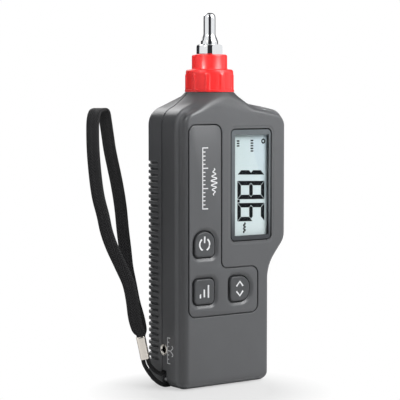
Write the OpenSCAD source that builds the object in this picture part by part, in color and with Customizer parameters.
// Handheld vibration meter: a two-part case with a display, three keys, a side output jack,
// a battery behind a hinged door, a screwed-on probe at the top and a wrist strap.
// X runs to the right, the front face looks along -Y, Z is up. The origin is the middle
// of the case's bottom. All lengths are millimetres.

/* [Case] */
// Width of the head, which holds the display
head_w = 67; // [65:0.5:70]
// Width of the handle below the head
handle_w = 56.4; // [55:0.2:58]
// Depth from the front face to the back face
case_d = 30; // [29.8:0.1:32]
// Height of the top of the case's neck, under the red cap
neck_h = 145; // [144:0.1:150]
// Drop from the top of the neck to where the two sloping shoulders meet
peak_drop = 1.1; // [0.9:0.1:1.6]
// Distance of that meeting point to the left of the middle
peak_left = 12.7; // [11:0.1:14]
// Drop from the top of the neck to the left shoulder's corner
shoulder_left_drop = 10.1; // [9:0.1:12]
// Drop from the top of the neck to the right shoulder's corner
shoulder_right_drop = 9.9; // [9:0.1:12]
// Height at which the flare between handle and head ends
flare_high_h = 70.5; // [69:0.1:72]
// Height of the flare itself
flare_h = 13.3; // [11.8:0.1:14.8]
// Rounding of the bottom corners
corner_r = 5.5; // [5.2:0.1:7]
// Rounding of the shoulder corners
shoulder_r = 9; // [7:0.5:10]
// Thickness of the case walls
wall = 2.2; // [2:0.1:2.4]
// Distance of the seam between the two shells behind the middle
seam_y = 1.8; // [1.4:0.1:2.2]

/* [Raised front] */
// Depth of the step beside the raised front
step_d = 4.9; // [4.5:0.1:5.2]
// Width of the whole step and its rounded rim along the sides
step_w = 4.9; // [4.5:0.1:5.2]
// Width of the same step along the shoulders
step_top_w = 4.1; // [3.8:0.1:4.4]
// Rounding of the front face's bottom edge
toe_w = 4.8; // [4.4:0.1:5]
// Rounding of the back edges
back_r = 2.5; // [2:0.1:3]

/* [Grip ribs] */
// Distance from one grip groove to the next
rib_pitch = 3.03; // [2.8:0.01:3.4]
// Width of a grip groove
groove_w = 1.3; // [1:0.1:1.6]
// Depth of a grip groove
groove_d = 0.7; // [0.4:0.1:0.9]
// Height of the lowest groove
rib_low_h = 13.5; // [12:0.5:16]
// Drop from the top of the neck to the highest groove
rib_high_drop = 33.4; // [29:0.1:45]

/* [Display] */
// Gap between the key panel's upper leg and the display window, which fills what is left
lens_gap = 6.69; // [6.2:0.01:8]
// Distance from the window to the head's right side
lens_side = 12.16; // [11.8:0.01:13]
// Height of the window's lower edge above the end of the flare
lens_low_gap = 1.4; // [1:0.1:3]
// Drop from the top of the neck to the window's upper edge
lens_top_drop = 18.5; // [17.5:0.1:21]
// Thickness of the window
lens_t = 1.2; // [1:0.1:1.4]

/* [Keys] */
// Width of a key
key_w = 12; // [11:0.1:12.4]
// Height of a key
key_h = 12.3; // [11.4:0.1:12.6]
// Distance that a key travels when pressed
key_travel = 0.6; // [0.3:0.1:0.7]
// Gap all round a key
key_gap = 0.35; // [0.25:0.05:0.45]
// Width of the upper leg of the key panel
panel_leg_w = 19.15; // [18.4:0.05:19.6]
// Width of the lower leg of the key panel
panel_foot_w = 41.7; // [40.6:0.1:42.2]
// Drop from the top of the neck to the key panel's top edge
panel_high_drop = 16.1; // [15.6:0.1:19]
// Height of the key panel's lower leg
panel_foot_h = 22.5; // [21.7:0.1:23.5]
// Height of the key panel's bottom edge
panel_low_h = 35.9; // [35:0.1:37]

/* [Probe] */
// Distance of the probe's axis to the left of the case's middle
probe_left = 5.9; // [5.4:0.1:6.4]
// Radius of the neck under the cap
neck_r = 12.1; // [11.9:0.1:12.2]
// Radius of the cap's knurled skirt
cap_r = 12.25; // [12.2:0.05:12.6]
// Height of the cap's skirt
skirt_h = 10.9; // [10.5:0.1:11.5]
// Radius of the cap's smooth nose
nose_r = 8.75; // [8.6:0.05:9]
// Height of the cap's nose above its skirt
nose_h = 7.3; // [7:0.1:7.6]
// Radius of the contact tip
tip_r = 2.95; // [2.8:0.05:3.1]
// Height of the tip's round foot
foot_h = 4.9; // [4.5:0.1:5.5]
// Radius of the tip's round foot
foot_r = 6.45; // [6.2:0.05:6.6]
// Width over the two wrench flats of the foot
foot_flats_w = 10; // [9.5:0.1:11]
// Height of the tip above its foot
tip_h = 15.5; // [14:0.1:30]

/* [Battery] */
// Width of the nine volt block battery
battery_w = 26.5; // [26:0.1:26.6]
// Depth of the battery
battery_d = 17.5; // [17:0.1:17.6]
// Height of the battery's can, without its terminals
battery_h = 46.4; // [46:0.1:46.6]
// Thickness of the battery door
door_t = 1.6; // [1.5:0.05:1.7]

/* [Output jack] */
// Radius of the plug that the jack takes
plug_r = 1.75; // [1.6:0.05:1.8]
// Height of the jack above the bottom
jack_z = 18.8; // [18.4:0.1:19.4]

/* [Strap] */
// Width of the wrist strap's braid
strap_w = 6.2; // [5:0.1:6.4]
// Thickness of the wrist strap's braid
strap_t = 1.4; // [1.1:0.1:1.5]
// Thickness of the thin cord below the ferrule
cord_d = 2.1; // [1.7:0.1:2.2]

/* [Hidden] */

// Colours
case_color = "#66686c";
panel_color = "#5f6165";
key_color = "#55575b";
red = "#f03c35";
steel = "#c9cccf";
brass = "#c8a95a";
black = "#1c1d1f";
board_green = "#1f6b3f";

// Smoothness, overrun of the cuts, and clearances
$fn = 48;
cut = 1;
running = 0.05;
seat = 0.1;
loose = 0.25;
panel_gap = 0.6;

// Case outline: corner places, roundings and how many steps each rounding has
left_x = -head_w / 2;
right_x = head_w / 2;
handle_x = left_x + handle_w;
front_y = -case_d / 2;
back_y = case_d / 2;
flare_low_r = 16;
flare_high_r = 11.5;
peak_r = 10;
least_r = 0.5;
peak_h = neck_h - peak_drop;
shoulder_left_h = neck_h - shoulder_left_drop;
shoulder_right_h = neck_h - shoulder_right_drop;
flare_low_h = flare_high_h - flare_h;
case_corners = [[left_x, 0], [handle_x, 0], [handle_x, flare_low_h], [right_x, flare_high_h],
    [right_x, shoulder_right_h], [-peak_left, peak_h], [left_x, shoulder_left_h]];
case_radii = [corner_r, corner_r, flare_low_r, flare_high_r, shoulder_r, peak_r, shoulder_r];
case_turns = [1, 1, -1, 1, 1, 1, 1];
case_steps = [6, 6, 6, 6, 7, 4, 7];

// Rings of the front shell, from its full outline to its flat face: depth along the step,
// and how much of the side step and of the rounded toe is reached there
front_ring_shares = [[1.1, 0, 0], [1.03, 0.06, 0], [0.99, 0.18, 0.01], [0.92, 0.39, 0.03],
    [0.76, 0.51, 0.08], [0.49, 0.55, 0.21], [0.29, 0.58, 0.35], [0.12, 0.69, 0.54],
    [0.03, 0.84, 0.75], [0, 1, 1]];
back_ring_angles = [90, 60, 30, 0];
seam_chamfer = 0.25;
shelf_wall = 1.6;

// Neck flare: share of the way out from the neck, share of the way down
flare_r = 22;
flare_drop = 9;
flare_shares = [[0, 0], [0.09, 0.11], [0.18, 0.21], [0.29, 0.31], [0.42, 0.41], [0.56, 0.53],
    [0.75, 0.71], [0.9, 0.84], [1, 1]];
neck_setback = 0.6;
spigot_r = 10;
spigot_h = 8;
neck_bore_r = 8.6;
neck_bore_l = 13;
probe_x = -probe_left;

// Grip grooves
groove_front_y = 5.35;
groove_back_w = 3.5;
rib_handle_high_h = flare_low_h - flare_low_r / 2;
rib_head_low_h = flare_high_h + flare_high_r / 2;
rib_high_h = neck_h - rib_high_drop;

// Key panel
panel_side = 4.6;
panel_t = 1.2;
panel_r = 3.7;
panel_left_x = left_x + panel_side;
panel_step_h = panel_low_h + panel_foot_h;
panel_high_h = neck_h - panel_high_drop;
panel_corners = [[panel_left_x, panel_low_h], [panel_left_x + panel_foot_w, panel_low_h],
    [panel_left_x + panel_foot_w, panel_step_h], [panel_left_x + panel_leg_w, panel_step_h],
    [panel_left_x + panel_leg_w, panel_high_h], [panel_left_x, panel_high_h]];
panel_turns = [1, 1, 1, -1, 1, 1];
panel_steps = 6;

// Keys: the measure key is arched at the top, the range key to the right
key_r = 2.4;
key_arch_r = 7.6;
key_well_w = 1.1;
key_well_d = 0.5;
key_dish_r = 45;
key_dish_d = 0.35;
key_flange_w = 0.8;
key_flange_t = 0.8;
key_stem_r = 1.5;
key_stem_h = 0.5;
// Their places are shares of the upper leg's width, of the rest of the lower leg's width and
// of the lower leg's height
measure_share = [0.49, 0, 1.559];
mode_share = [0.48, 0, 0.533];
range_share = [1, 0.521, 0.533];
function panel_place(share) = [
    panel_left_x + panel_leg_w * share[0] + (panel_foot_w - panel_leg_w) * share[1],
    panel_low_h + panel_foot_h * share[2]];
measure_place = panel_place(measure_share);
mode_place = panel_place(mode_share);
range_place = panel_place(range_share);
wall_inner_y = front_y + wall;
recess_y = front_y + panel_t + running;
key_flange_y = wall_inner_y + seat;
key_stem_y = key_flange_y + key_flange_t;

// Main board and the switches on it
board_set = 7.4;
board_y = front_y + board_set;
board_t = 1.6;
board_back_y = board_y + board_t;
board_below = 2.4;
board_drop = 16;
board_low_h = panel_low_h - board_below;
board_high_h = neck_h - board_drop;
board_edge = 0.6;
switch_w = 6;
switch_h = 2.8;
switch_floor = 0.3;
plunger_r = 1.6;
dome_t = 0.2;
dome_r = 1.5;
plunger_y = key_stem_y + key_stem_h;
plunger_end_y = board_y - switch_floor - dome_t - running - key_travel;

// Display window and the parts behind it
lens_w = head_w - panel_side - panel_leg_w - lens_gap - lens_side;
lens_low_h = flare_high_h + lens_low_gap;
lens_h = neck_h - lens_top_drop - lens_low_h;
lens_x = right_x - lens_side - lens_w / 2;
lens_z = lens_low_h + lens_h / 2;
lens_r = 2;
lens_set = 0.5;
lens_lip = 1.3;
lens_rim_w = 1.4;
lens_rim_d = 0.35;
glass_edge = 0.4;
glass_t = 2.8;
frame_w = 1.8;
strip_w = 2;
strip_in = 1.6;
glass_gap = 0.2;
glass_y = wall_inner_y + glass_gap;

// Screws, bosses and posts
boss_r = 3;
boss_gap = 0.4;
screw_r = 1.25;
screw_head_r = 2.3;
screw_head_h = 1.6;
screw_l = 11;
screw_sink = 7;
screw_seat_y = back_y - screw_sink;
drive_r = 1;
drive_d = 0.9;
boss_side = 6.7;
boss_side_low = 7;
boss_high_drop = 21.5;
boss_high_h = neck_h - boss_high_drop;
boss_low_h = 29.5;
boss_places = [[left_x + boss_side, boss_high_h], [right_x - boss_side, boss_high_h],
    [left_x + boss_side_low, boss_low_h], [handle_x - boss_side_low, boss_low_h]];
post_r = 2.2;
post_side = 7.4;
post_height_shares = [0.28, 0.7, 0.53, 0.08];
post_sides = [left_x + post_side, left_x + post_side, right_x - post_side, handle_x - post_side];
post_places = [for (i = [0:len(post_sides) - 1])
    [post_sides[i], board_low_h + (board_high_h - board_low_h) * post_height_shares[i]]];
board_screw_r = 0.9;
board_screw_l = 5;
board_head_r = 1.9;
board_head_h = 1.2;

// Parts on the back of the board: size as width, thickness, height; place as shares of
// the head's width and of the board's height
chip_size = [10, 1.4, 10];
chip_share = [-0.2, 0.7];
amp_size = [4, 1.5, 5];
amp_shares = [[0.07, 0.82], [0.07, 0.7], [0.24, 0.78]];
crystal_size = [10, 3.4, 4];
crystal_share = [-0.2, 0.52];
capacitor_r = 2.5;
capacitor_h = 6;
capacitor_shares = [[0.3, 0.62], [0.3, 0.44], [0.15, 0.5]];
trimmer_size = [6.5, 4, 6.5];
trimmer_screw_r = 1.2;
trimmer_shares = [[-0.36, 0.83], [-0.22, 0.83]];
plug_size = [7, 4, 4];
plug_share = [-0.088, 0.92];

// Battery, its box, its snap connector and its door
battery_x = (left_x + handle_x) / 2;
box_t = 1;
box_gap = 0.6;
box_set = 0.2;
box_y = board_back_y + box_set;
battery_y = box_y + box_t + box_set;
battery_z = 10.6;
battery_r = 2;
terminal_r = 3;
terminal_h = 2.1;
terminal_side = 6.35;
snap_size = [25, 12, 2.4];
box_head = 3.5;
box_low_h = 8.2;
box_high_h = battery_z + battery_h + terminal_h + snap_size[2] + box_head;
pad_side = 1;
door_side = 1;
door_gap = 0.25;
door_drop = 1;
door_high_h = box_high_h - door_drop;
hinge_z = 9;
hinge_r = 1.3;
trunnion_r = 0.8;
trunnion_l = 1.5;
cheek_w = 2.4;
cheek_d = 2.6;
door_w = battery_w + 2 * box_gap + 2 * box_t + 2 * door_side;
door_x = battery_x - door_w / 2;
door_y = back_y - door_t;
hinge_y = back_y - hinge_r;
door_grip_w = 12;
door_grip_h = 0.9;
door_grip_d = 0.4;
door_grip_pitch = 2;
ledge_h = 2.2;
lead_hole_w = 5;

// Output jack, on the left side
jack_front = 1.2;
jack_y = seam_y - jack_front;
jack_bush_r = 3;
jack_bush_l = 2.6;
jack_body_w = 6;
jack_body_l = 10;
jack_seat_t = 1.4;
jack_lead_in = 0.7;
jack_lead_pitch = 1.2;

// Inside of the probe
can_r = 6.3;
can_t = 0.9;
can_below = 1.5;
can_above = 12.5;
can_low_h = neck_h - can_below;
can_high_h = neck_h + can_above;
base_h = 2.9;
base_z = can_high_h;
boss_nose_r = 5;
boss_nose_h = 3.2;
tip_z = base_z + base_h + boss_nose_h;
stud_r = 2.5;
stud_l = 4.6;
post_bolt_r = 1.4;
post_bolt_l = 9.4;
piezo_r = 4.4;
piezo_t = 1.5;
electrode_t = 0.3;
mass_r = 4.7;
mass_h = 4.4;
nut_r = 2.6;
nut_h = 1.6;
isolator_low = 1;
isolator_h = 6;
seal_t = 1.1;
lead_hole_r = 1;

// Cap and tip
cap_lift = 0.3;
cap_top_t = 1.9;
cap_round = 1;
nose_round = 0.5;
cap_hole_gap = 0.15;
cap_z = neck_h + cap_lift;
cap_high_z = cap_z + skirt_h + nose_h;
flute_count = 10;
flute_angle = 29;
flute_turn = 17;
flute_d = 0.5;
flute_low = 1;
flute_high = 1.9;
tip_cone_low = 1.7;
tip_cone_high = 4.7;
tip_base_r = 4.25;
tip_round = 2.4;
tip_round_step = 15;
foot_bevel = 1.1;
foot_turn = -75;

// Wires inside the case
wire_r = 0.45;
wire_sides = 8;
across = [1, 0, 0];
along = [0, 1, 0];
wire_gap = 0.9;

// Strap slot and its bar
slot_w = 4;
slot_in = 7;
slot_h = 8.6;
slot_front = 3.8;
slot_y = seam_y - slot_front;
bar_r = 1.6;
bar_in = 2.9;
bar_z = 4;
bar_seat = 1.5;
slot_wall = 1.6;

// Strap: sideways direction of the flat braid, its section as shares of half its width
// and half its thickness, and the routes, whose points are chosen by hand
strap_side = [0.81, -0.586, 0];
strap_waist_share = 0.66;
strap_taper_share = 0.85;
strap_shares = [[1, 0.45], [0.85, 1], [-0.85, 1], [-1, 0.45], [-1, -0.45], [-0.85, -1],
    [0.85, -1], [1, -0.45]];
ferrule_low = [-40.3, 6.3, 14];
ferrule_high = [-42.8, 6.8, 25.5];
ferrule_w = 4.6;
ferrule_t = 3.9;
ferrule_r = 1.2;
ferrule_crimp_d = 0.4;
ferrule_crimp_h = 1.6;
ferrule_turn = -35.9;
strap_route = [[-43, 6, 24.5], [-43.5, 6, 27], [-45, 6.5, 30], [-47, 6, 35.5], [-49, 5, 44.5],
    [-52, 3.5, 52.5], [-56, 3.5, 60.5], [-61, 3.5, 70], [-64, 4, 78], [-66, 4, 86], [-68, 5, 95],
    [-69, 6, 105], [-69.5, 7, 117], [-68.5, 9, 127.5], [-67.5, 10, 132.5], [-65.5, 11.5, 135.5],
    [-62.5, 14, 136.5], [-59.5, 16, 136.5], [-57, 17, 135], [-55.5, 18, 131], [-54, 18.5, 124],
    [-52.5, 18.5, 115.5], [-49.5, 17.5, 100.5], [-48, 16.5, 89], [-47, 16, 77.5], [-46, 15.5, 68],
    [-45.5, 14.5, 59], [-44.5, 13, 50.5], [-43.5, 11.5, 42], [-42.5, 9, 34], [-42, 8, 29],
    [-42, 7.5, 26.5], [-42, 7.5, 24.5]];
cord_route = [[-41.2, 7, 15.2], [-41.1, 6.9, 13.2], [-40.7, 6.7, 11.4], [-39.9, 6.3, 9.6],
    [-39.1, 5.5, 7.8], [-38.2, 4.4, 6], [-37.2, 3.1, 4.3], [-36, 1.6, 2.8], [-34.2, 0.4, 1.6],
    [-32.6, 0, 1.2], [-30.6, 0, 1.2], [-29.2, 0, 1.5], [-28.1, 0, 2.6], [-27.8, 0, 4],
    [-28.1, 0, 5.4], [-29.2, 0, 6.5], [-30.6, 0, 6.8], [-32.6, 0, 6.8], [-34.3, 0.5, 6.8],
    [-35.8, 1.7, 7.4], [-37, 3.2, 8.5], [-37.9, 4.4, 9.9], [-38.7, 5.3, 11.6], [-39.1, 5.7, 13.3],
    [-39.4, 5.8, 15.2]];

// Outlines: a corner list becomes a rounded outline, and may first be shrunk edge by edge
function unit(v) = v / norm(v);
function around(i, n) = (i + n) % n;
function inward(v) = [-v.y, v.x];
function meet(p, u, q, v) = p + u * cross(q - p, v) / cross(u, v);
function edge(list, i) = unit(list[around(i + 1, len(list))] - list[i]);
function shrunk(list, insets) = [for (i = [0:len(list) - 1])
    let (j = around(i - 1, len(list)), u = edge(list, j), v = edge(list, i))
    meet(list[j] + inward(u) * insets[j], u, list[i] + inward(v) * insets[i], v)];
function arc(p, before, after, r, n) =
    let (a = unit(before - p), b = unit(after - p), half = acos(a * b) / 2,
        c = p + unit(a + b) * r / sin(half), va = p + a * r / tan(half) - c,
        vb = p + b * r / tan(half) - c, w = 180 - 2 * half)
    [for (k = [0:n]) c + (sin((1 - k / n) * w) * va + sin(k / n * w) * vb) / sin(w)];
function rounded(list, radii, steps) = [for (i = [0:len(list) - 1])
    each arc(list[i], list[around(i - 1, len(list))], list[around(i + 1, len(list))],
        radii[i], steps[i])];
function case_outline(side, top, toe) =
    let (insets = [toe, side, side, side, top, top, side])
    rounded(shrunk(case_corners, insets),
        [for (i = [0:len(case_radii) - 1]) max(least_r, case_radii[i] - case_turns[i] * side)],
        case_steps);
function panel_outline(grow) =
    rounded(shrunk(panel_corners, [for (c = panel_corners) -grow]),
        [for (t = panel_turns) panel_r + t * grow], [for (t = panel_turns) panel_steps]);

// Solids from outlines. A ring is depth, side inset, top inset, toe inset; rings run to the front
module loft(rings) {
    outlines = [for (r = rings) case_outline(r[1], r[2], r[3])];
    n = len(outlines[0]);
    last = len(rings) - 1;
    polyhedron(
        points = [for (k = [0:last]) each [for (p = outlines[k]) [p.x, rings[k][0], p.y]]],
        faces = concat([[for (i = [0:n - 1]) i]],
            [for (k = [0:last - 1], i = [0:n - 1])
                [k * n + i, (k + 1) * n + i, (k + 1) * n + (i + 1) % n, k * n + (i + 1) % n]],
            [[for (i = [n - 1:-1:0]) last * n + i]]));
}
module slab(y0, y1) translate([0, y1, 0]) rotate([90, 0, 0]) linear_extrude(y1 - y0) children();
module rod_y(place, y0, y1, r)
    translate([place[0], y1, place[1]]) rotate([90, 0, 0]) cylinder(r = r, h = y1 - y0);
module rod_x(x0, x1, y, z, r) translate([x0, y, z]) rotate([0, 90, 0]) cylinder(r = r, h = x1 - x0);
module block(x0, x1, y0, y1, z0, z1) translate([x0, y0, z0]) cube([x1 - x0, y1 - y0, z1 - z0]);
module soft_square(w, h, r) translate([-w / 2, -h / 2]) offset(r) offset(-r) square([w, h]);
module at_probe(z) translate([probe_x, 0, z]) children();

// Tubes: rings of a section across a route
function tangent(route, i) = let (last = len(route) - 1)
    unit(route[min(i + 1, last)] - route[max(i - 1, 0)]);
function ring(route, i, section, side) =
    let (t = tangent(route, i), w = unit(side - (side * t) * t), u = cross(t, w))
    [for (s = section) route[i] + w * s.x + u * s.y];
function circle_section(r) = [for (k = [0:wire_sides - 1])
    r * [cos(360 * k / wire_sides), sin(360 * k / wire_sides)]];
module tube(route, sections, side) {
    n = len(sections[0]);
    last = len(route) - 1;
    polyhedron(
        points = [for (i = [0:last]) each ring(route, i, sections[i], side)],
        faces = concat([[for (j = [0:n - 1]) j]],
            [for (i = [0:last - 1], j = [0:n - 1], half = [0, 1]) half == 0
                ? [i * n + j, (i + 1) * n + j, (i + 1) * n + (j + 1) % n]
                : [i * n + j, (i + 1) * n + (j + 1) % n, i * n + (j + 1) % n]],
            [[for (j = [n - 1:-1:0]) last * n + j]]));
}
module wire(route, r, side) tube(route, [for (p = route) circle_section(r)], side);

// Case
front_rings = concat([[seam_y, seam_chamfer, seam_chamfer, seam_chamfer],
        [seam_y - seam_chamfer, 0, 0, 0]],
    [for (s = front_ring_shares)
        [front_y + step_d * s[0], step_w * s[1], step_top_w * s[1], toe_w * s[2]]]);
back_rings = concat([for (a = back_ring_angles) let (inset = back_r * (1 - cos(a)))
        [back_y - back_r * (1 - sin(a)), inset, inset, inset]],
    [[seam_y + seam_chamfer, 0, 0, 0], [seam_y, seam_chamfer, seam_chamfer, seam_chamfer]]);

module neck_half(y0, y1) intersection() {
    at_probe(0) union() {
        rotate_extrude() polygon(concat([[0, neck_h]],
            [for (s = flare_shares) [neck_r + (flare_r - neck_r) * s[0], neck_h - flare_drop * s[1]]],
            [[0, neck_h - flare_drop]]));
        cylinder(r = spigot_r, h = neck_h + spigot_h);
    }
    block(left_x, right_x, y0, y1, neck_h - flare_drop, neck_h + spigot_h);
}
module neck_bore() at_probe(neck_h - neck_bore_l)
    cylinder(r = neck_bore_r, h = neck_bore_l + spigot_h + cut);
module slot_block(y0, y1) slab(y0, y1) intersection() {
    polygon(case_outline(wall / 2, wall / 2, wall / 2));
    translate([left_x, 0]) square([slot_in + slot_wall, slot_h + slot_wall]);
}
module slot_cut() block(left_x - cut, left_x + slot_in, slot_y, slot_y + slot_w, -cut, slot_h);
module bar_hole() rod_y([left_x + bar_in, bar_z], slot_y - bar_seat, slot_y + slot_w + bar_seat,
    bar_r + running);
module jack_hole() union() {
    rod_x(left_x - cut, left_x + wall + cut, jack_y, jack_z, jack_bush_r + running);
    block(left_x + jack_bush_l - running, left_x + jack_bush_l + jack_body_l + seat,
        jack_y - jack_body_w / 2 - seat, jack_y + jack_body_w / 2 + seat,
        jack_z - jack_body_w / 2 - seat, jack_z + jack_body_w / 2 + seat);
}
module jack_seat(y0, y1) block(left_x + wall / 2, left_x + jack_bush_l + jack_body_l / 2, y0, y1,
    jack_z - jack_body_w / 2 - jack_seat_t, jack_z + jack_body_w / 2 + jack_seat_t);

module front_shell() color(case_color) difference() {
    union() {
        difference() {
            union() {
                loft(front_rings);
                neck_half(front_y + neck_setback, seam_y);
            }
            slab(front_y + step_d + shelf_wall, seam_y + cut)
                polygon(case_outline(wall, wall, wall));
            slab(wall_inner_y, front_y + step_d + shelf_wall + cut)
                polygon(case_outline(step_w, step_top_w, step_w));
        }
        for (p = boss_places) rod_y(p, front_y + wall / 2, seam_y, boss_r);
        for (p = post_places) rod_y(p, front_y + wall / 2, board_y, post_r);
        slot_block(slot_y - slot_wall - bar_seat, seam_y);
        jack_seat(jack_y - jack_body_w / 2 - jack_seat_t, seam_y);
    }
    neck_bore();
    slot_cut();
    bar_hole();
    jack_hole();
    slab(front_y - cut, front_y + lens_rim_d) translate([lens_x, lens_z])
        soft_square(lens_w + 2 * lens_rim_w, lens_h + 2 * lens_rim_w, lens_r + lens_rim_w);
    slab(front_y - cut, front_y + lens_set + lens_t) translate([lens_x, lens_z])
        soft_square(lens_w + 2 * seat, lens_h + 2 * seat, lens_r);
    slab(front_y - cut, wall_inner_y + cut) translate([lens_x, lens_z])
        soft_square(lens_w - 2 * lens_lip, lens_h - 2 * lens_lip, lens_r / 2);
    slab(front_y - cut, recess_y) polygon(panel_outline(panel_gap));
    slab(front_y, wall_inner_y + cut) key_holes(key_gap);
    for (p = boss_places) rod_y(p, screw_seat_y - screw_l - loose, seam_y + cut, screw_r + running);
    for (p = post_places) rod_y(p, board_back_y - board_screw_l - loose, board_y + cut,
        board_screw_r + running);
}

module side_grooves(x, sign, z0, z1) {
    count = floor((z1 - z0) / rib_pitch);
    for (k = [0:count]) translate([x, 0, z0 + k * rib_pitch - groove_w / 2]) scale([sign, 1, 1])
        linear_extrude(groove_w) difference() {
            translate([-cut, groove_front_y])
                square([groove_back_w + cut, back_y - groove_front_y + cut]);
            translate([groove_d, groove_front_y - cut])
                square([groove_back_w + cut, back_y - groove_d - back_r - groove_front_y + cut]);
            translate([groove_d + back_r, groove_front_y - cut])
                square([groove_back_w + cut, back_y - groove_d - groove_front_y + cut]);
            translate([groove_d + back_r, back_y - groove_d - back_r]) circle(r = back_r);
        }
}
module battery_box() difference() {
    block(battery_x - battery_w / 2 - box_gap - box_t, battery_x + battery_w / 2 + box_gap + box_t,
        box_y, back_y - wall / 2, box_low_h - box_t, box_high_h + box_t);
    block(battery_x - battery_w / 2 - box_gap, battery_x + battery_w / 2 + box_gap,
        box_y + box_t, back_y, box_low_h, box_high_h);
    block(battery_x - lead_hole_w / 2, battery_x + lead_hole_w / 2, box_y + box_t,
        box_y + box_t + lead_hole_w, box_high_h - cut, box_high_h + box_t + cut);
}
module door_opening() {
    block(door_x - door_gap, door_x + door_w + door_gap, door_y - seat, back_y + cut,
        hinge_z, door_high_h + door_gap);
    rod_x(door_x - door_gap, door_x + door_w + door_gap, hinge_y, hinge_z, hinge_r + door_gap);
    block(door_x - door_gap, door_x + door_w + door_gap, hinge_y, back_y + cut,
        hinge_z - hinge_r - door_gap, hinge_z + cut);
    block(battery_x - battery_w / 2 - box_gap, battery_x + battery_w / 2 + box_gap,
        back_y - wall - cut, back_y + cut, box_low_h + hinge_r, box_high_h - ledge_h);
    rod_x(door_x - trunnion_l - loose, door_x + door_w + trunnion_l + loose, hinge_y, hinge_z,
        trunnion_r + running);
}
module back_shell() color(case_color) difference() {
    union() {
        difference() {
            union() {
                loft(back_rings);
                neck_half(seam_y, back_y - neck_setback);
            }
            slab(seam_y - cut, back_y - wall) polygon(case_outline(wall, wall, wall));
        }
        for (p = boss_places) rod_y(p, seam_y, back_y - wall / 2, boss_r);
        slot_block(seam_y, slot_y + slot_w + slot_wall + bar_seat);
        jack_seat(seam_y, jack_y + jack_body_w / 2 + jack_seat_t);
        battery_box();
        for (x = [door_x - cheek_w, door_x + door_w])
            block(x, x + cheek_w, back_y - wall - cheek_d, back_y - wall / 2,
                hinge_z - cheek_d, hinge_z + cheek_d);
    }
    neck_bore();
    slot_cut();
    bar_hole();
    jack_hole();
    door_opening();
    for (p = boss_places) {
        rod_y(p, seam_y - cut, back_y, screw_r + seat);
        rod_y(p, screw_seat_y, back_y + cut, screw_head_r + seat);
    }
    side_grooves(left_x, 1, rib_low_h, rib_high_h);
    side_grooves(handle_x, -1, rib_low_h, rib_handle_high_h);
    side_grooves(right_x, -1, rib_head_low_h, rib_high_h);
}

// Key panel and keys
module arched_key(w, h) intersection() {
    soft_square(w, h, key_r);
    translate([0, h / 2 - key_arch_r]) circle(r = key_arch_r);
}
module key_shape(kind, grow) offset(grow) if (kind == "square") soft_square(key_w, key_h, key_r);
    else if (kind == "arch_up") arched_key(key_w, key_h);
    else rotate(-90) arched_key(key_h, key_w);
module key_holes(grow) {
    translate(measure_place) key_shape("arch_up", grow);
    translate(mode_place) key_shape("square", grow);
    translate(range_place) key_shape("arch_right", grow);
}
module key_panel() color(panel_color) difference() {
    slab(front_y, front_y + panel_t) polygon(panel_outline(0));
    slab(front_y - cut, front_y + panel_t + cut) key_holes(key_gap);
    slab(front_y - cut, front_y + key_well_d) key_holes(key_gap + key_well_w);
}
module key(kind, place) color(key_color) difference() {
    translate([place[0], 0, place[1]]) union() {
        slab(front_y, key_flange_y) key_shape(kind, 0);
        slab(key_flange_y, key_stem_y) key_shape(kind, key_flange_w);
        rod_y([0, 0], key_stem_y, plunger_y, key_stem_r);
    }
    translate([place[0], front_y + key_dish_d - key_dish_r, place[1]])
        sphere(r = key_dish_r, $fn = 96);
}
module measure_key() key("arch_up", measure_place);
module mode_key() key("square", mode_place);
module range_key() key("arch_right", range_place);
module plunger(place) color(black) rod_y(place, plunger_y, plunger_end_y, plunger_r);
module measure_plunger() plunger(measure_place);
module mode_plunger() plunger(mode_place);
module range_plunger() plunger(range_place);
module switch_housings() color(black) for (p = [measure_place, mode_place, range_place])
    difference() {
        slab(board_y - switch_h, board_y) translate(p) soft_square(switch_w, switch_w, least_r);
        rod_y(p, board_y - switch_h - cut, board_y - switch_floor, plunger_r + running);
    }
module switch_domes() color(steel) for (p = [measure_place, mode_place, range_place])
    rod_y(p, board_y - switch_floor - dome_t, board_y - switch_floor, dome_r);

// Display
module display_window() color("#9fb4c0") slab(front_y + lens_set, front_y + lens_set + lens_t)
    translate([lens_x, lens_z]) soft_square(lens_w, lens_h, lens_r);
module display_glass() color("#c3d6dc") slab(glass_y, glass_y + glass_t)
    translate([lens_x, lens_z]) square([lens_w - 2 * glass_edge, lens_h - 2 * glass_edge], true);
module display_frame() color(black) difference() {
    slab(glass_y, board_y) translate([lens_x, lens_z])
        square([lens_w + 2 * frame_w, lens_h + 2 * frame_w], true);
    slab(glass_y - cut, board_y + cut) translate([lens_x, lens_z])
        square([lens_w - 2 * glass_edge + 2 * seat, lens_h - 2 * glass_edge + 2 * seat], true);
}
module contact_strips() color("#e58aa0") for (side = [-1, 1])
    slab(glass_y + glass_t, board_y)
        translate([lens_x + side * (lens_w / 2 - glass_edge - strip_in), lens_z])
            square([strip_w, lens_h - 2 * glass_edge - 2 * strip_in], true);

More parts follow.
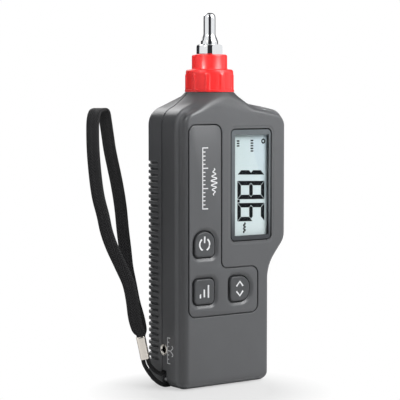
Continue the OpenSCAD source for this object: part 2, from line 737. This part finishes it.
// Main board
function board_place(share) = [head_w * share[0], board_low_h + (board_high_h - board_low_h) * share[1]];
module on_board(share, size) let (p = board_place(share))
    block(p[0] - size[0] / 2, p[0] + size[0] / 2, board_back_y, board_back_y + size[1],
        p[1] - size[2] / 2, p[1] + size[2] / 2);
module main_board() color(board_green) difference() {
    slab(board_y, board_back_y) intersection() {
        polygon(case_outline(wall + board_edge, wall + board_edge, wall + board_edge));
        translate([left_x, board_low_h]) square([head_w, board_high_h - board_low_h]);
    }
    for (p = boss_places) rod_y(p, board_y - cut, board_back_y + cut, boss_r + boss_gap);
    for (p = post_places) rod_y(p, board_y - cut, board_back_y + cut, board_screw_r + seat);
}
module processor_chip() color(black) on_board(chip_share, chip_size);
module amplifier_chips() color(black) for (s = amp_shares) on_board(s, amp_size);
module crystal_can() color(steel) on_board(crystal_share, crystal_size);
module board_capacitors() color("#27303f") for (s = capacitor_shares)
    rod_y(board_place(s), board_back_y, board_back_y + capacitor_h, capacitor_r);
module trimmers() color("#2f62b8") for (s = trimmer_shares) {
    on_board(s, trimmer_size);
    rod_y(board_place(s), board_back_y + trimmer_size[1] - seat,
        board_back_y + trimmer_size[1] + seat, trimmer_screw_r);
}
module sensor_connector() color("#ece8da") on_board(plug_share, plug_size);
module screw(place, y, r, l, head_r, head_h) difference() {
    union() {
        rod_y(place, y - l, y, r);
        rod_y(place, y, y + head_h, head_r);
    }
    rod_y(place, y + head_h - drive_d, y + head_h + cut, drive_r);
}
module board_screws() color(steel) for (p = post_places)
    screw(p, board_back_y, board_screw_r, board_screw_l, board_head_r, board_head_h);
module case_screws() color(steel) for (p = boss_places)
    screw(p, screw_seat_y, screw_r, screw_l, screw_head_r, screw_head_h);

// Output jack
module jack_bush() color(steel) difference() {
    rod_x(left_x, left_x + jack_bush_l, jack_y, jack_z, jack_bush_r);
    rod_x(left_x - cut, left_x + jack_bush_l + cut, jack_y, jack_z, plug_r);
}
module jack_socket() color(black) difference() {
    block(left_x + jack_bush_l, left_x + jack_bush_l + jack_body_l, jack_y - jack_body_w / 2,
        jack_y + jack_body_w / 2, jack_z - jack_body_w / 2, jack_z + jack_body_w / 2);
    rod_x(left_x, left_x + jack_bush_l + jack_body_l - jack_seat_t, jack_y, jack_z, plug_r);
}
module jack_leads() color("#b03030") for (k = [0, 1]) {
    x = left_x + jack_bush_l + jack_body_l - jack_lead_in - k * jack_lead_pitch;
    y = jack_y - jack_body_w / 2;
    rise = board_low_h - jack_z;
    wire([[x, y, jack_z], [x, y - wire_gap, jack_z], [x, y - 2 * wire_gap, jack_z + wire_gap],
            [x, board_back_y + wire_r, jack_z + rise / 2], [x, board_back_y + wire_r, board_low_h],
            [x, board_back_y + wire_r, board_low_h + wire_gap]], wire_r, across);
}

// Battery and door
module battery() color("#3d6fb0") translate([battery_x, battery_y + battery_d / 2, battery_z])
    linear_extrude(battery_h) soft_square(battery_w, battery_d, battery_r);
module battery_terminals() color(brass) for (side = [-1, 1])
    translate([battery_x + side * terminal_side, battery_y + battery_d / 2, battery_z + battery_h])
        cylinder(r = terminal_r, h = terminal_h);
module battery_snap() color(black)
    translate([battery_x, battery_y + battery_d / 2, battery_z + battery_h + terminal_h])
        linear_extrude(snap_size[2]) soft_square(snap_size[0], snap_size[1], battery_r);
module battery_leads() for (side = [-1, 1]) color(side < 0 ? black : red) {
    x = battery_x + side * wire_gap;
    z = battery_z + battery_h + terminal_h + snap_size[2];
    y = box_y + box_t + lead_hole_w / 2;
    wire([[x, battery_y + battery_d / 2, z], [x, battery_y + battery_d / 2, z + wire_gap],
            [x, y + lead_hole_w / 2, z + 2 * wire_gap], [x, y, box_high_h],
            [x, y, box_high_h + box_t + wire_gap], [x, y - wire_gap, box_high_h + box_t + 3 * wire_gap],
            [x, board_back_y + wire_gap, box_high_h + box_t + 5 * wire_gap],
            [x, board_back_y, box_high_h + box_t + 5 * wire_gap]], wire_r, across);
}
module battery_pad() color("#8a8d90") block(battery_x - battery_w / 2 + pad_side,
    battery_x + battery_w / 2 - pad_side, battery_y + pad_side, battery_y + battery_d - 3 * pad_side,
    box_low_h, battery_z);
module battery_door() color(case_color) difference() {
    union() {
        block(door_x, door_x + door_w, door_y, back_y, hinge_z, door_high_h);
        rod_x(door_x, door_x + door_w, hinge_y, hinge_z, hinge_r);
        rod_x(door_x - trunnion_l, door_x + door_w + trunnion_l, hinge_y, hinge_z, trunnion_r);
    }
    for (k = [0:3]) block(battery_x - door_grip_w / 2, battery_x + door_grip_w / 2,
        back_y - door_grip_d, back_y + cut, door_high_h - (k + 2) * door_grip_pitch,
        door_high_h - (k + 2) * door_grip_pitch + door_grip_h);
}

// Probe, inside
module sensor_can() color(steel) difference() {
    at_probe(can_low_h) cylinder(r = can_r, h = can_high_h - can_low_h);
    at_probe(can_low_h + can_t) cylinder(r = can_r - can_t, h = can_high_h - can_low_h);
    at_probe(can_low_h - cut) cylinder(r = lead_hole_r, h = can_t + 2 * cut);
}
module sensor_base() color(steel) difference() {
    at_probe(0) union() {
        translate([0, 0, base_z]) cylinder(r = can_r, h = base_h);
        translate([0, 0, base_z + base_h]) cylinder(r = boss_nose_r, h = boss_nose_h);
        translate([0, 0, base_z - post_bolt_l]) cylinder(r = post_bolt_r, h = post_bolt_l);
    }
    at_probe(tip_z - stud_l - loose) cylinder(r = stud_r + running, h = stud_l + loose + cut);
}
module stack_ring(z, r, h) at_probe(z) difference() {
    cylinder(r = r, h = h);
    translate([0, 0, -cut]) cylinder(r = post_bolt_r + running, h = h + 2 * cut);
}
module piezo_rings() color("#b9a27a") {
    stack_ring(base_z - piezo_t, piezo_r, piezo_t);
    stack_ring(base_z - 2 * piezo_t - electrode_t, piezo_r, piezo_t);
}
module electrode_plates() color(brass) stack_ring(base_z - piezo_t - electrode_t, piezo_r, electrode_t);
stack_low = base_z - 2 * piezo_t - electrode_t;
module seismic_mass() color("#8b8f94") stack_ring(stack_low - mass_h, mass_r, mass_h);
module preload_nut() color(steel) at_probe(stack_low - mass_h - nut_h) difference() {
    cylinder(r = nut_r, h = nut_h, $fn = 6);
    translate([0, 0, -cut]) cylinder(r = post_bolt_r + running, h = nut_h + 2 * cut);
}
module isolator_sleeve() color(black) at_probe(neck_h + isolator_low) difference() {
    cylinder(r = neck_bore_r - running, h = isolator_h);
    translate([0, 0, -cut]) cylinder(r = can_r + running, h = isolator_h + 2 * cut);
}
module nose_seal() color(black) at_probe(base_z + base_h + seal_t / 2) rotate_extrude()
    translate([boss_nose_r + seal_t / 2 + running, 0]) circle(r = seal_t / 2, $fn = 24);
module sensor_lead() color("#333a44") wire([[probe_x, 0, can_low_h + can_t],
    [probe_x, 0, can_low_h - 2 * wire_gap], [probe_x, -wire_gap, can_low_h - 5 * wire_gap],
    [probe_x, board_back_y + 3 * wire_gap, can_low_h - 8 * wire_gap],
    [probe_x, board_back_y + plug_size[1] / 2, can_low_h - 10 * wire_gap],
    [probe_x, board_back_y + plug_size[1] / 2, board_place(plug_share)[1] + plug_size[2] / 2]],
    lead_hole_r - 2 * running, across);

// Cap and tip
module probe_cap() color(red) difference() {
    at_probe(0) rotate_extrude() polygon([[0, cap_z], [cap_r, cap_z],
        [cap_r, cap_z + skirt_h - flute_high],
        [cap_r - cap_round / 3, cap_z + skirt_h - cap_round],
        [cap_r - cap_round, cap_z + skirt_h - cap_round / 3], [cap_r - 2 * cap_round, cap_z + skirt_h],
        [nose_r, cap_z + skirt_h], [nose_r, cap_high_z - nose_round],
        [nose_r - nose_round, cap_high_z], [0, cap_high_z]]);
    at_probe(cap_z - cut) cylinder(r = spigot_r + running, h = spigot_h + cut);
    at_probe(cap_z) cylinder(r = can_r + loose, h = cap_high_z - cap_top_t - cap_z);
    at_probe(cap_z) cylinder(r = boss_nose_r + cap_hole_gap, h = cap_high_z - cap_z + cut);
    for (k = [0:flute_count - 1]) at_probe(cap_z + flute_low) rotate(flute_turn + k * 360 / flute_count)
        rotate_extrude(angle = flute_angle) translate([cap_r - flute_d, 0])
            square([cut, skirt_h - flute_low - flute_high]);
}
module probe_tip() color(steel) at_probe(tip_z) union() {
    intersection() {
        rotate(foot_turn) translate([-foot_flats_w / 2, -foot_r - cut, 0])
            cube([foot_flats_w, 2 * foot_r + 2 * cut, foot_h]);
        rotate_extrude() polygon([[0, 0], [foot_r, 0], [foot_r, foot_h - foot_bevel],
            [foot_r - foot_bevel, foot_h], [0, foot_h]]);
    }
    translate([0, 0, foot_h - running]) rotate_extrude() polygon(concat([[0, 0], [tip_base_r, 0],
            [tip_base_r, tip_cone_low], [tip_r, tip_cone_high]],
        [for (a = [0:tip_round_step:90]) [tip_r - tip_round * (1 - cos(a)),
            tip_h + running - tip_round * (1 - sin(a))]],
        [[0, tip_h + running]]));
    translate([0, 0, -stud_l]) cylinder(r = stud_r, h = stud_l + running);
}

// Strap
module strap_bar() color(steel) rod_y([left_x + bar_in, bar_z], slot_y - bar_seat + seat,
    slot_y + slot_w + bar_seat - seat, bar_r);
module strap_cord() color(black) wire(cord_route, cord_d / 2, along);
module strap_ferrule() color(steel) let (d = unit(ferrule_high - ferrule_low),
    l = norm(ferrule_high - ferrule_low))
    translate(ferrule_low) rotate([0, acos(d.z), atan2(d.y, d.x)])
        rotate(ferrule_turn - atan2(d.y, d.x)) difference() {
            linear_extrude(l) soft_square(ferrule_w, ferrule_t, ferrule_r);
            for (z = [l / 3, 2 * l / 3], side = [-1, 1])
                translate([-ferrule_w, side * ferrule_t / 2 - ferrule_crimp_d, z - ferrule_crimp_h / 2])
                    cube([2 * ferrule_w, 2 * ferrule_crimp_d, ferrule_crimp_h]);
        }
function strap_width_share(i) = let (last = len(strap_route) - 1, near = min(i, last - i))
    near < 2 ? strap_waist_share : near == 2 ? strap_taper_share : 1;
module wrist_strap() color(black) tube(strap_route, [for (i = [0:len(strap_route) - 1])
    [for (s = strap_shares) [s.x * strap_w / 2 * strap_width_share(i), s.y * strap_t / 2]]], strap_side);

front_shell();
back_shell();
key_panel();
display_window();
display_glass();
display_frame();
contact_strips();
measure_key();
mode_key();
range_key();
measure_plunger();
mode_plunger();
range_plunger();
switch_housings();
switch_domes();
main_board();
processor_chip();
amplifier_chips();
crystal_can();
board_capacitors();
trimmers();
sensor_connector();
board_screws();
case_screws();
jack_bush();
jack_socket();
jack_leads();
battery();
battery_terminals();
battery_snap();
battery_leads();
battery_pad();
battery_door();
sensor_can();
sensor_base();
piezo_rings();
electrode_plates();
seismic_mass();
preload_nut();
isolator_sleeve();
nose_seal();
sensor_lead();
probe_cap();
probe_tip();
strap_bar();
strap_cord();
strap_ferrule();
wrist_strap();
